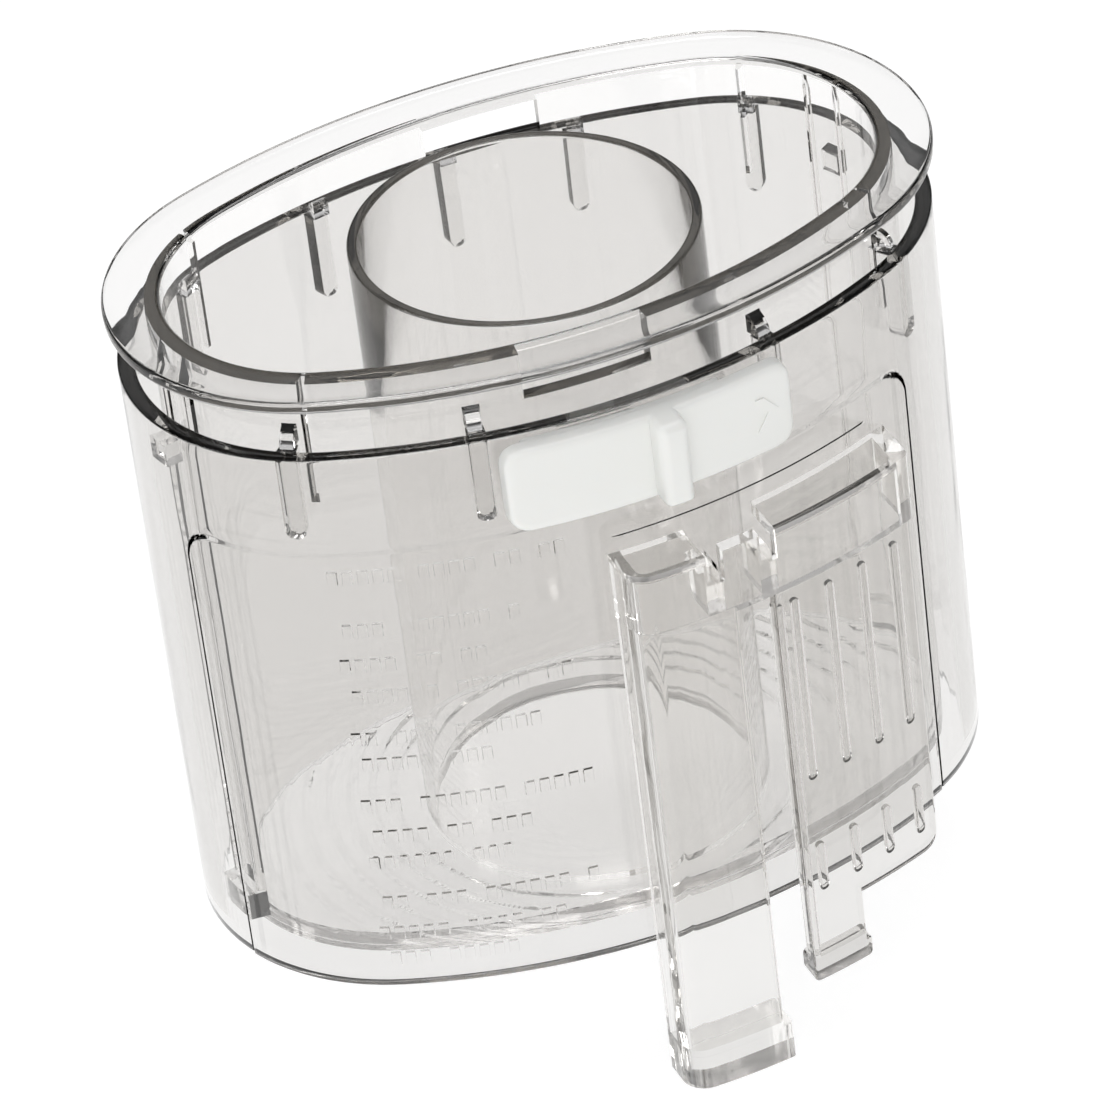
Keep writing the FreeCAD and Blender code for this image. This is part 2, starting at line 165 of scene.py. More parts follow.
def even_turns(step):
    """Evenly spaced turns round the whole oval, about one step of length apart."""
    turns = []
    spans = [(-front_turn, front_turn, front_radius), (front_turn, math.pi - back_turn, end_radius),
             (math.pi - back_turn, math.pi + back_turn, back_radius),
             (math.pi + back_turn, 2 * math.pi - front_turn, end_radius)]
    for start, end, radius in spans:
        count = max(2, round((end - start) * radius / step))
        turns += list(np.linspace(start, end, count, endpoint=False))
    return [t if t <= math.pi else t - 2 * math.pi for t in turns]


def turns_beside(turn, distances):
    """Turns at given lengths to either side of a place on the wall."""
    radius = arc_of(turn)[2]
    return [turn + d / radius for d in distances]


def both_ways(distances):
    """The same distances to either side of zero."""
    return [-d for d in distances] + list(distances)


EDGE = 0.06


def ramp(inside):
    """0 outside, 1 inside, changing over one edge width; inside is a distance in mm."""
    return np.clip(inside / EDGE + 0.5, 0, 1)


def rounded_rise(inside, height, rounding):
    """Height of a raised feature with a rounded rim, from the distance inside its outline."""
    bend = np.clip(inside / rounding, 0, 1)
    return ramp(inside) * (height - rounding) + rounding * np.sqrt(1 - (1 - bend) ** 2) * ramp(inside)


# %% [markdown]
# ## From rings to a closed mesh
# Every wall is lofted: rings of points are stacked and joined by quads, up the outside,
# over the top, down the inside and back along the bottom. The last ring joins the first,
# so the moulding is closed with no lid to add. Cells named as open are left out on both
# faces, and their edges are joined through the wall, which makes a clean window.

# %% Loft and finish helpers
SHARP_ANGLE = math.radians(35)


def quads_between(first, second, count):
    """Quads that join two rings, named by the number of their first points."""
    return [(first + i, first + (i + 1) % count, second + (i + 1) % count, second + i)
            for i in range(count)]


def object_from(name, points, faces):
    """A mesh object from points in millimetres, smooth except at sharp edges."""
    mesh = bpy.data.meshes.new(name)
    mesh.from_pydata((np.asarray(points, float) * MM).tolist(), [], faces)
    mesh.validate()
    mesh.shade_smooth()
    mesh.set_sharp_from_angle(angle=SHARP_ANGLE)
    piece = bpy.data.objects.new(name, mesh)
    bpy.context.scene.collection.objects.link(piece)
    return piece


def loft(name, rings):
    """Closed ring-shaped mesh through equal rings of points."""
    count = len(rings[0])
    faces = []
    for k in range(len(rings)):
        faces += quads_between(k * count, (k + 1) % len(rings) * count, count)
    return object_from(name, np.concatenate(rings), faces)


def wall_ring(turns, offsets, heights):
    """Ring of wall points; offsets and heights are numbers or one value per turn."""
    offsets = np.broadcast_to(offsets, len(turns))
    heights = np.broadcast_to(heights, len(turns))
    return np.array([(*wall_xy(t, o), h) for t, o, h in zip(turns, offsets, heights)])


def moulded_wall(name, turns, outer, inner, heights, is_open, over_top=()):
    """Wall with its own offset at each grid point, closed over the top and under the bottom."""
    count, levels = len(turns), len(heights)
    rings = [wall_ring(turns, outer[:, j], heights[j]) for j in range(levels)]
    rings += list(over_top)
    inner_start = len(rings)
    rings += [wall_ring(turns, inner[:, j], heights[j]) for j in reversed(range(levels))]
    faces = []
    for k in range(len(rings)):
        below = k * count
        above = (k + 1) % len(rings) * count
        for i, quad in enumerate(quads_between(below, above, count)):
            level = k if k < levels - 1 else None
            if inner_start <= k < inner_start + levels - 1:
                level = levels - 2 - (k - inner_start)
            if level is None or not is_open[i, level]:
                faces.append(quad)
    faces += window_sides(is_open, count, levels, inner_start)
    return object_from(name, np.concatenate(rings), faces)


def window_sides(is_open, count, levels, inner_start):
    """Quads through the wall round every opening."""
    def out_point(i, j):
        return j * count + i % count

    def in_point(i, j):
        return (inner_start + levels - 1 - j) * count + i % count

    sides = []
    for i, j in zip(*np.nonzero(is_open)):
        i, j = int(i), int(j)
        if not is_open[i, j - 1]:
            sides.append((out_point(i, j), out_point(i + 1, j), in_point(i + 1, j), in_point(i, j)))
        if not is_open[i, j + 1]:
            sides.append((out_point(i, j + 1), in_point(i, j + 1), in_point(i + 1, j + 1),
                          out_point(i + 1, j + 1)))
        if not is_open[i - 1, j]:
            sides.append((out_point(i, j), in_point(i, j), in_point(i, j + 1), out_point(i, j + 1)))
        if not is_open[(i + 1) % count, j]:
            sides.append((out_point(i + 1, j), out_point(i + 1, j + 1), in_point(i + 1, j + 1),
                          in_point(i + 1, j)))
    return sides


# %% [markdown]
# ## Where the ribs and stops are
# Nine upright ribs inside the sleeve steady the pusher, and nine lugs on the pusher rest on
# them. These places are the same as in the CAD model.

# %% Places shared by the sleeve and the pusher
RIB_TURNS = ([turn_at(x, -1) for x in (-54.2, -25.8, 25.3, 54.0)]
             + [turn_at(x, 1) for x in (-53.0, -23.3, 1.3, 24.5, 53.8)])
RIB_WIDTH = 3.0
RIB_RISE = 2.5
RIB_DEPTH = 4.0
STOP_TURNS = (math.radians(114.0), math.radians(-81.0))
STOP_WIDTH = 4.5
rib_low, rib_high = node_box("guide_ribs")
stop_low, stop_high = node_box("end_stops")
print("ribs from z %.1f to %.1f, stops from %.1f to %.1f" % (rib_low.z, rib_high.z, stop_low.z, stop_high.z))

# %% [markdown]
# ## The sleeve
# The sleeve is one injection moulding. Its front panel stands slightly proud, with a sharp
# groove down each side and a soft step along the top. All of that is written as the offset
# of the outer face at each grid point; ribs and stops are the offset of the inner face.
# The rows of small raised bars stand where the real part has raised small print, so the
# face has the same broken-up sparkle and says nothing. Their sides are steep, because a
# gentle slope bends light too little to be seen.

# %% Sleeve grid lines
SLEEVE_WALL = 2.8
SLEEVE_TOP = shell_high.z
RIM_ROUND = 0.4
PANEL_TURNS = (math.radians(-71.3), math.radians(29.9))
PANEL_TOP = 86.0
PANEL_CORNER = 6.0
PANEL_PROUD = 0.28
GROOVE_DEPTH = 1.6
GROOVE_HALF = 0.36
panel_left, panel_right = along_wall(PANEL_TURNS)
RULE_HEIGHT = 2.5
CHIP_WIDTH = 1.6
CHIP_PITCH = 2.4
CHIPS_ACROSS = 16
CHIP_EDGE = 0.12
RULE_PROUD = 0.25
RULE_EDGE = 0.2
RULE_START = -52.5
RULE_HEIGHTS = (81.7, 71.4, 64.6, 58.4, 50.1, 45.0, 36.7, 30.5, 25.3, 17.1, 10.9, 5.7)
RULE_LENGTHS = (5, 3, 4, 6, 2)
LINE_RULE = (80.4, -7.0, 41.0, 0.5)

groove_lines = [0.0, 0.1, 0.2, 0.3, 0.4, 0.5]
corner_lines = list(np.arange(0.7, PANEL_CORNER, 0.22))
rib_lines = both_ways([0.0, 0.5, 0.95, 1.2, 1.35, 1.45, RIB_WIDTH / 2 - EDGE / 2, RIB_WIDTH / 2 + EDGE / 2,
                       1.7])
stop_lines = both_ways([0.0, 1.0, 1.9, 2.15, STOP_WIDTH / 2 - EDGE / 2, STOP_WIDTH / 2 + EDGE / 2, 2.5])
close_turns = []
for turn in RIB_TURNS:
    close_turns += turns_beside(turn, [d * front_radius / (front_radius - RIB_DEPTH) for d in rib_lines])
for turn in STOP_TURNS:
    close_turns += turns_beside(turn, stop_lines)
close_turns += turns_beside(PANEL_TURNS[0], both_ways(groove_lines) + corner_lines)
close_turns += turns_beside(PANEL_TURNS[1], both_ways(groove_lines) + [-d for d in corner_lines])
for chip in np.arange(0, CHIPS_ACROSS, 0.5):
    for edge in (0.0, CHIP_WIDTH):
        place = RULE_START + chip * CHIP_PITCH + edge
        close_turns += [turn_along(place - CHIP_EDGE / 2), turn_along(place + CHIP_EDGE / 2)]
LOCK_WINDOW = ((-10.8, 10.8), (93.2, 98.8))
close_turns += [turn_at(x, -1) for x in LOCK_WINDOW[0]]
sleeve_turns = merge_lines(even_turns(1.3), close_turns, 0.0035)

close_z = [rib_low.z + d for d in (-0.1, 0.0, 0.12, 0.3, 0.55, 0.9, 1.3, 1.7)]
close_z += [rib_high.z - EDGE / 2 - 0.12, rib_high.z - EDGE / 2, rib_high.z + EDGE / 2]
for edge in (stop_low.z, stop_high.z):
    close_z += [edge - 0.3, edge - EDGE / 2, edge + EDGE / 2, edge + 0.3]
close_z += list(LOCK_WINDOW[1])
close_z += [PANEL_TOP + d for d in (-0.5, -0.35, -0.2, -0.08, 0.08, 0.2, 0.35, 0.5)]
close_z += [PANEL_TOP - d for d in corner_lines]
for height in RULE_HEIGHTS:
    for edge in (height - RULE_HEIGHT / 2, height + RULE_HEIGHT / 2):
        close_z += [edge - RULE_EDGE / 2, edge + RULE_EDGE / 2]
close_z += [LINE_RULE[0] + d for d in (-0.33, -0.25, 0.0, 0.25, 0.33)]
rim_lines = [RIM_ROUND * (1 - math.sin(math.radians(a))) for a in (0, 18, 36, 54, 72, 90)]
close_z += [SLEEVE_TOP - d for d in rim_lines] + [d / 3 for d in rim_lines]
sleeve_z = merge_lines(np.linspace(0, SLEEVE_TOP, 48), close_z, 0.07)
sleeve_z = sleeve_z[(sleeve_z >= 0) & (sleeve_z <= SLEEVE_TOP)]
print("sleeve grid: %d turns by %d heights" % (len(sleeve_turns), len(sleeve_z)))


# %% Offsets of the sleeve's two faces
def panel_depth(along, z):
    """Distance inside the panel's outline, and inside its nearer side."""
    side = np.minimum(along - panel_left, panel_right - along)
    top = PANEL_TOP - z
    corner = PANEL_CORNER - np.hypot(PANEL_CORNER - side, PANEL_CORNER - top)
    in_corner = (side < PANEL_CORNER) & (top < PANEL_CORNER)
    return np.where(in_corner, corner, np.minimum(side, top)), side


def rules(along, z):
    """Small raised bars in rows, and one long thin rule, as 0 or 1 with sloping sides."""
    raised = np.zeros_like(along)
    for k, height in enumerate(RULE_HEIGHTS):
        row = np.clip((RULE_HEIGHT / 2 - np.abs(z - height)) / RULE_EDGE + 0.5, 0, 1)
        chip, step = k % 2 / 2, k
        last = CHIPS_ACROSS - 3 * (k % 3)
        while chip < last - 1:
            for count in range(min(RULE_LENGTHS[step % len(RULE_LENGTHS)], int(last - chip))):
                middle = RULE_START + chip * CHIP_PITCH + CHIP_WIDTH / 2
                block = np.clip((CHIP_WIDTH / 2 - np.abs(along - middle)) / CHIP_EDGE + 0.5, 0, 1)
                raised = np.maximum(raised, row * block)
                chip += 1
            chip += 1
            step += 2
    height, start, end, width = LINE_RULE
    line = np.clip((width / 2 + 0.08 - np.abs(z - height)) / 0.08, 0, 1)
    return np.maximum(raised, line * (along > start) * (along < end))


def rim_inset(z, low, high, rounding):
    """How far a face leans in where its top and bottom edges are rounded."""
    near = np.minimum(high - z, (z - low) * 3)
    return rounding - np.sqrt(np.clip(rounding ** 2 - np.clip(rounding - near, 0, rounding) ** 2, 0, None))


def capsule_inside(along, z, bottom, top, width):
    """Distance inside an upright bar with a round lower end."""
    radius = width / 2
    sideways = radius - np.abs(along)
    foot = radius - np.hypot(along, z - bottom - radius)
    return np.minimum(np.where(z < bottom + radius, foot, sideways), top - z)


grid_turn, grid_z = np.meshgrid(sleeve_turns, sleeve_z, indexing="ij")
grid_along = along_wall(grid_turn)
depth, side_depth = panel_depth(grid_along, grid_z)
soft_step = np.where(side_depth < PANEL_CORNER * 0.5, 0.16, 0.9)
groove_fade = np.clip(1.5 - side_depth / (PANEL_CORNER * 0.6), 0, 1)
sleeve_outer = PANEL_PROUD * np.clip(depth / soft_step + 0.5, 0, 1)
sleeve_outer -= GROOVE_DEPTH * groove_fade * np.clip(1 - np.abs(depth) / GROOVE_HALF, 0, 1)
sleeve_outer += RULE_PROUD * rules(grid_along, grid_z)
rounding = rim_inset(grid_z, 0, SLEEVE_TOP, RIM_ROUND)
sleeve_outer -= rounding

local_radius = np.array([arc_of(t)[2] for t in sleeve_turns])[:, None]
sleeve_inner = np.full_like(grid_z, -SLEEVE_WALL) + rounding
for turn in RIB_TURNS:
    across = (grid_turn - turn) * (local_radius - RIB_DEPTH)
    inside = capsule_inside(across, grid_z, rib_low.z, rib_high.z, RIB_WIDTH)
    sleeve_inner -= rounded_rise(inside, RIB_RISE, 0.5)
for turn in STOP_TURNS:
    across = STOP_WIDTH / 2 - np.abs(grid_turn - turn) * local_radius
    inside = np.minimum(across, np.minimum(grid_z - stop_low.z, stop_high.z - grid_z))
    sleeve_inner -= rounded_rise(inside, RIB_RISE, 0.4)

# %% Make the sleeve
cell_x, cell_y = np.array([wall_xy(t) for t in sleeve_turns]).T
(window_left, window_right), (window_foot, window_top) = LOCK_WINDOW
NEAR = 0.01
in_window_x = (cell_x >= window_left - NEAR) & (cell_x < window_right - NEAR) & (cell_y < 0)
in_window_z = (sleeve_z >= window_foot - NEAR) & (sleeve_z < window_top - NEAR)
sleeve_open = in_window_x[:, None] & in_window_z[None, :]
sleeve = moulded_wall("sleeve_moulding", sleeve_turns, sleeve_outer, sleeve_inner, sleeve_z, sleeve_open)
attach(sleeve, "sleeve")
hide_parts("sleeve_shell", "front_panel", "guide_ribs", "end_stops")
print("sleeve faces:", len(sleeve.data.polygons))

# %% [markdown]
# ## The pusher
# The pusher is a second moulding: a thin oval cup that hangs inside the sleeve from a broad
# flat flange, which the palm presses. Its wall is made like the sleeve's, and the rings of
# points go on over the flange at the top, so wall and flange are one piece of plastic.

# %% Pusher grid lines
PUSHER_OUT = -5.8
PUSHER_IN = -8.3
BASE_ROUND = 2.0
wall_foot = node_box("pusher_wall")[0].z
flange_low, flange_high = node_box("pusher_flange")
WINDOW_FOOT = 106.2
WINDOWS = ((-1, -17.0, 5.5), (1, -3.0, 18.2))
SLOT_TURNS = [turn_at(x, side) for x in (-51.5, 53.5) for side in (-1, 1)]
SLOT_FOOT = 93.0
SLOT_HALF = 0.39
SLOT_DEPTH = 2.3
LUG_WIDTH = 2.4
LUG_ROOT = 0.5
KEEPER_HALF = 4.0
KEEPER_RISE = 2.5
TRACK_PLACE = 3.4
TRACK_HALF = 0.45
TRACK_RISE = 0.9
CATCH_RISE = 2.2
lug_low, lug_high = node_box("rest_lugs")
keeper_low, keeper_high = node_box("keeper_lugs")
catch_low, catch_high = node_box("lock_catch")

close_turns = []
for turn in RIB_TURNS:
    close_turns += turns_beside(turn, both_ways([0.0, 0.6, 1.0, 1.2 - EDGE / 2, 1.2 + EDGE / 2, 1.5]))
for turn in SLOT_TURNS:
    close_turns += turns_beside(turn, both_ways([0.0, 0.36, 0.42, 0.8]))
for turn in STOP_TURNS:
    close_turns += turns_beside(turn, both_ways([0.0, 2.8, 2.95, 3.0, 3.2, 3.4, 3.6, 3.8, 3.85,
                                                 4.0 - EDGE / 2, 4.0 + EDGE / 2, 4.3]))
close_turns += [turn_at(x + d, -1) for x in (catch_low.x, catch_high.x) for d in (-0.3, -0.03, 0.03, 0.3)]
for side, left, right in WINDOWS:
    close_turns += [turn_at(left, side), turn_at(right, side)]
pusher_turns = merge_lines(even_turns(1.2), close_turns, 0.004)

close_z = [wall_foot + BASE_ROUND * (1 - math.sin(math.radians(a))) for a in range(0, 91, 10)]
close_z += [lug_low.z + d for d in (-0.03, 0.03)]
close_z += [lug_low.z + (lug_high.z - lug_low.z) * d for d in (0.2, 0.4, 0.6, 0.75, 0.87, 0.95, 1.0)]
for edge in (keeper_low.z, keeper_high.z, catch_low.z, catch_high.z, SLOT_FOOT):
    close_z += [edge - 0.3, edge - EDGE / 2, edge + EDGE / 2, edge + 0.3]
close_z += [WINDOW_FOOT, flange_low.z]
pusher_z = merge_lines(np.linspace(wall_foot, flange_low.z, 40), close_z, 0.08)
pusher_z = pusher_z[(pusher_z >= wall_foot) & (pusher_z <= flange_low.z + 1e-6)]
print("pusher grid: %d turns by %d heights" % (len(pusher_turns), len(pusher_z)))

# %% Offsets of the pusher's two faces
grid_turn, grid_z = np.meshgrid(pusher_turns, pusher_z, indexing="ij")
local_radius = np.array([arc_of(t)[2] for t in pusher_turns])[:, None] + PUSHER_OUT
rise = grid_z - wall_foot
base = np.clip(BASE_ROUND - rise, 0, BASE_ROUND)
pusher_outer = PUSHER_OUT - (BASE_ROUND - np.sqrt(BASE_ROUND ** 2 - base ** 2))
for turn in RIB_TURNS:
    across = LUG_WIDTH / 2 - np.abs(grid_turn - turn) * local_radius
    lift = grid_z - lug_low.z
    quarter = np.sqrt(np.clip((lug_high.z - lug_low.z) ** 2 - lift ** 2, 0, None)) - LUG_ROOT
    lug = np.clip(quarter, 0, None) * ramp(across) * (lift > 0)
    pusher_outer = np.maximum(pusher_outer, PUSHER_OUT + lug)
for turn in STOP_TURNS:
    away = np.abs(grid_turn - turn) * local_radius
    keeper = ramp(KEEPER_HALF - away) * ramp(grid_z - keeper_low.z) * ramp(keeper_high.z - grid_z)
    track = rounded_rise(TRACK_HALF - np.abs(away - TRACK_PLACE), TRACK_RISE, 0.3)
    track = track * ((grid_z > keeper_high.z) & (grid_z < flange_low.z - 1))
    pusher_outer = np.maximum(pusher_outer, PUSHER_OUT + np.maximum(KEEPER_RISE * keeper, track))
plan_x, plan_y = np.array([wall_xy(t) for t in pusher_turns]).T[:, :, None]
catch = ramp(plan_x - catch_low.x) * ramp(catch_high.x - plan_x) * (plan_y < 0)
catch = catch * ramp(grid_z - catch_low.z) * ramp(catch_high.z - grid_z)
pusher_outer = np.maximum(pusher_outer, PUSHER_OUT + CATCH_RISE * catch)
for turn in SLOT_TURNS:
    cut = ramp(SLOT_HALF - np.abs(grid_turn - turn) * local_radius) * ramp(grid_z - SLOT_FOOT)
    pusher_outer -= SLOT_DEPTH * cut
pusher_inner = np.full_like(grid_z, PUSHER_IN)

# %% Rings of the flange, from under its lip to the mouth
FLANGE_OUT = 1.0
LIP_ROUND = 0.7
MOUTH_ROUND = 0.9


def arc_points(centre_offset, centre_z, radius, start, end, steps=7):
    """Points of an arc in the wall's cross-section; 0 degrees points outward, 90 up."""
    angles = np.radians(np.linspace(start, end, steps))
    return [(centre_offset + radius * math.cos(a), centre_z + radius * math.sin(a)) for a in angles]


flange_profile = [(PUSHER_OUT + 0.25, flange_low.z + 0.02), (-2.5, flange_low.z)]
flange_profile += arc_points(FLANGE_OUT - LIP_ROUND, flange_low.z + LIP_ROUND, LIP_ROUND, -90, 0)
flange_profile += arc_points(FLANGE_OUT - LIP_ROUND, flange_high.z - LIP_ROUND, LIP_ROUND, 0, 90)
flange_profile += [(-2.5, flange_high.z), (-5.5, flange_high.z)]
flange_profile += arc_points(PUSHER_IN + MOUTH_ROUND, flange_high.z - MOUTH_ROUND, MOUTH_ROUND, 90, 180)
flange_rings = [wall_ring(pusher_turns, offset, height) for offset, height in flange_profile]
print("flange profile of %d points, lip radius %.2f mm" % (len(flange_profile), LIP_ROUND))

# %% Make the pusher
pusher_open = np.zeros((len(pusher_turns), len(pusher_z)), bool)
for side, left, right in WINDOWS:
    shift = NEAR * side
    in_x = (plan_x[:, 0] > left + shift) & (plan_x[:, 0] < right + shift) & (plan_y[:, 0] * side > 0)
    in_z = (pusher_z >= WINDOW_FOOT - NEAR) & (pusher_z < flange_low.z - 1.0)
    pusher_open |= in_x[:, None] & in_z[None, :]
pusher = moulded_wall("pusher_moulding", pusher_turns, pusher_outer, pusher_inner, pusher_z, pusher_open,
                      flange_rings)
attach(pusher, "pusher")
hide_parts("pusher_wall", "pusher_flange", "rest_lugs", "keeper_lugs", "lock_catch")
print("pusher faces:", len(pusher.data.polygons))

# %% [markdown]
# ## The pusher's floor
# A flat plate closes the bottom of the cup around the feed tube, and is welded to both. Its
# outline is the oval outside and a circle inside, so its rings of points change from one to
# the other. The real plate has fine raised rings round the tube; they are height added to
# its top, so they bend light as the real ones do.

# %% Rings of the floor, from the oval to the tube and back
tube_low, tube_high = node_box("feed_tube")
tube_radius = (tube_high.x - tube_low.x) / 2
tube_centre = Vector(((tube_low.x + tube_high.x) / 2, (tube_low.y + tube_high.y) / 2))
plate_low, plate_high = node_box("pusher_floor")
SEAM = 0.02
PLATE_EDGE = 0.15
FIRST_RING = tube_radius + 4.9
RING_PITCH = 3.9
RING_HEIGHT = 0.45
FLOOR_STEPS = 64


def toward_tube(share, offset, height, ring_height=0.0):
    """Ring part of the way from the oval to the circle of the tube."""
    points = []
    for turn in pusher_turns:
        start = Vector(wall_xy(turn, offset))
        line = start - tube_centre
        reach = line.length
        radius = reach + (tube_radius + SEAM - reach) * share
        spot = tube_centre + line * (radius / reach)
        from_ends = min(radius - tube_radius - 2.4, reach - radius)
        fade = min(max(from_ends / 2.5, 0), 1)
        wave = max(math.cos(2 * math.pi * (radius - FIRST_RING) / RING_PITCH), 0) ** 2
        points.append((spot.x, spot.y, height + ring_height * fade * wave))
    return np.array(points)


plate_edge = PUSHER_IN - SEAM
shares = np.linspace(0, 1, FLOOR_STEPS + 1)
plate_rings = [toward_tube(0, plate_edge, plate_high.z - PLATE_EDGE)]
plate_rings += [toward_tube(s, plate_edge - PLATE_EDGE, plate_high.z, RING_HEIGHT) for s in shares]
plate_rings += [toward_tube(s, plate_edge - PLATE_EDGE, plate_low.z) for s in (1.0, 0.66, 0.33, 0.0)]
plate_rings += [toward_tube(0, plate_edge, plate_low.z + PLATE_EDGE)]
plate = loft("pusher_floor_moulding", plate_rings)
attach(plate, "pusher")
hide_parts("pusher_floor")
print("floor plate %.1f mm thick" % (plate_high.z - plate_low.z))

# %% [markdown]
# ## The feed tube
# A round tube stands in the cup, open at both ends, for small pieces of food. It is turned:
# one cross-section swept round its axis, with a fully rounded rim, because the rounded rim
# is what draws the thin dark ring at the top.

# %% Turn the feed tube
TUBE_WALL = 1.8
TUBE_RIM = 0.45
TUBE_EDGE = 0.3


def turned(name, centre, profile, steps=224):
    """Closed mesh from a cross-section of (radius, height) points swept round an upright axis."""
    angles = np.linspace(0, 2 * math.pi, steps, endpoint=False)
    rings = [np.stack([centre.x + r * np.cos(angles), centre.y + r * np.sin(angles),
                       np.full(steps, z)], axis=1) for r, z in profile]
    return loft(name, rings)


bore = tube_radius - TUBE_WALL
tube_middle = (tube_low.z + 40, tube_high.z - 30)
tube_profile = [(tube_radius, tube_low.z + TUBE_EDGE)] + [(tube_radius, z) for z in tube_middle]
tube_profile += arc_points(tube_radius - TUBE_RIM, tube_high.z - TUBE_RIM, TUBE_RIM, 0, 90)
tube_profile += arc_points(bore + TUBE_RIM, tube_high.z - TUBE_RIM, TUBE_RIM, 90, 180)
tube_profile += [(bore, z) for z in reversed(tube_middle)] + [(bore, tube_low.z + TUBE_EDGE)]
tube_profile += [(bore + TUBE_EDGE, tube_low.z), (tube_radius - TUBE_EDGE, tube_low.z)]
tube = turned("feed_tube_moulding", tube_centre, tube_profile)
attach(tube, "pusher")
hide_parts("feed_tube")
print("tube radius %.1f mm, height %.1f mm" % (tube_radius, tube_high.z - tube_low.z))


# %% [markdown]
# ## Plates that follow the curved front
# The lock slide and the lever are plates bent to the front of the sleeve, with rounded
# corners and soft edges. Each is made as a grid: a square grid is pulled into the rounded
# outline, then its face falls away near the edge like a quarter circle. The same two faces
# and a rim strip make every bar, rib and grip here.

# %% Plate helper
def front_point(x, offset, z):
    """Point at x on the curved front, a given offset out from the sleeve's face."""
    return x, front_centre - math.sqrt((front_radius + offset) ** 2 - x * x), z


def axis_lines(low, high, corner, step):
    """Grid lines across a plate, close together near its two edges."""
    close = [corner * (1 - math.cos(math.radians(a))) for a in (0, 15, 30, 45, 60, 75, 90)]
    close = [c for c in close + [0.06, 0.16, 0.3, 0.5] if c < (high - low) / 2]
    even = list(np.arange(low + step, high - step / 2, step))
    return merge_lines(even, [low + c for c in close] + [high - c for c in close], 0.2)


def soft_plate(name, x_range, z_range, offsets, corner=0.6, face_round=0.4, back_round=0.0):
    """Bent plate between two offsets, with rounded corners and rounded face edges."""
    (left, right), (foot, top) = x_range, z_range
    corner = min(corner, (right - left) / 2 - 0.01, (top - foot) / 2 - 0.01)
    xs = axis_lines(left, right, corner, 1.6)
    zs = axis_lines(foot, top, corner, 6.0)
    points = {0: [], 1: []}
    for x in xs:
        for z in zs:
            px = min(max(x, left + corner), right - corner)
            pz = min(max(z, foot + corner), top - corner)
            dx, dz = x - px, z - pz
            reach = math.hypot(dx, dz)
            squeeze = max(abs(dx), abs(dz)) / reach if reach > 1e-9 else 1.0
            dx, dz = dx * squeeze, dz * squeeze
            inside = min(x - left, right - x, z - foot, top - z)
            if reach > 1e-9:
                inside = min(inside, corner - math.hypot(dx, dz))
            for face, rounding in ((0, back_round), (1, face_round)):
                near = min(max(rounding - inside, 0), rounding)
                fall = rounding - math.sqrt(max(rounding ** 2 - near ** 2, 0))
                offset = offsets[face] - fall if face else offsets[face] + fall
                points[face].append(front_point(px + dx, offset, pz + dz))
    rows, count = len(xs), len(zs)
    size = rows * count
    faces = []
    for i in range(rows - 1):
        for j in range(count - 1):
            a = i * count + j
            faces.append((a, a + 1, a + count + 1, a + count))
            faces.append((size + a, size + a + count, size + a + count + 1, size + a + 1))
    rim = ([(i, 0) for i in range(rows)] + [(rows - 1, j) for j in range(1, count)]
           + [(i, count - 1) for i in range(rows - 2, -1, -1)] + [(0, j) for j in range(count - 2, 0, -1)])
    rim = [i * count + j for i, j in rim]
    for a, b in zip(rim, rim[1:] + rim[:1]):
        faces.append((a, b, size + b, size + a))
    return object_from(name, points[0] + points[1], faces)


# %% [markdown]
# ## Joining blocks into one moulding
# The slide, the bracket and the lever are each several blocks that were moulded together.
# Overlapping shells would leave inner faces, which clear plastic shows, so the blocks are
# joined with a Boolean modifier. The meshes are small, so the exact solver is quick.

# %% Join and cut helpers
def combine(piece, other, operation):
    """Applies a Boolean of another object to piece, and removes the other object."""
    modifier = piece.modifiers.new(operation.lower(), "BOOLEAN")
    modifier.operation = operation
    modifier.solver = "EXACT"
    modifier.object = other
    bake(piece)
    bpy.data.objects.remove(other)


def bake(piece):
    """Replaces the mesh of a piece by what its modifiers make of it."""
    bpy.context.view_layer.update()
    shaped = piece.evaluated_get(bpy.context.evaluated_depsgraph_get())
    mesh = bpy.data.meshes.new_from_object(shaped)
    piece.modifiers.clear()
    piece.data = mesh


def one_moulding(name, blocks, cuts=()):
    """One closed mesh from overlapping blocks, less the cuts."""
    piece = blocks[0]
    piece.name = name
    for block in blocks[1:]:
        combine(piece, block, "UNION")
    for cut in cuts:
        combine(piece, cut, "DIFFERENCE")
    piece.data.name = name
    return piece


def smooth_normals(piece, angle=35):
    """Even shading on flat faces beside cut ones, sharp at real edges."""
    piece.data.shade_smooth()
    piece.data.set_sharp_from_angle(angle=math.radians(angle))
    modifier = piece.modifiers.new("even_shading", "WEIGHTED_NORMAL")
    modifier.keep_sharp = True
    modifier.weight = 100
    bake(piece)


# %% [markdown]
# ## The lock slide
# A white bar slides on the front of the sleeve and is pushed by an upright grip. It is
# softly rounded all over. The real bar has a raised word and an arrow; only a plain raised
# arrowhead is kept, which shows which way the bar slides. Its neck goes through the
# sleeve's window to the tongue inside, which is the CAD piece as it is.

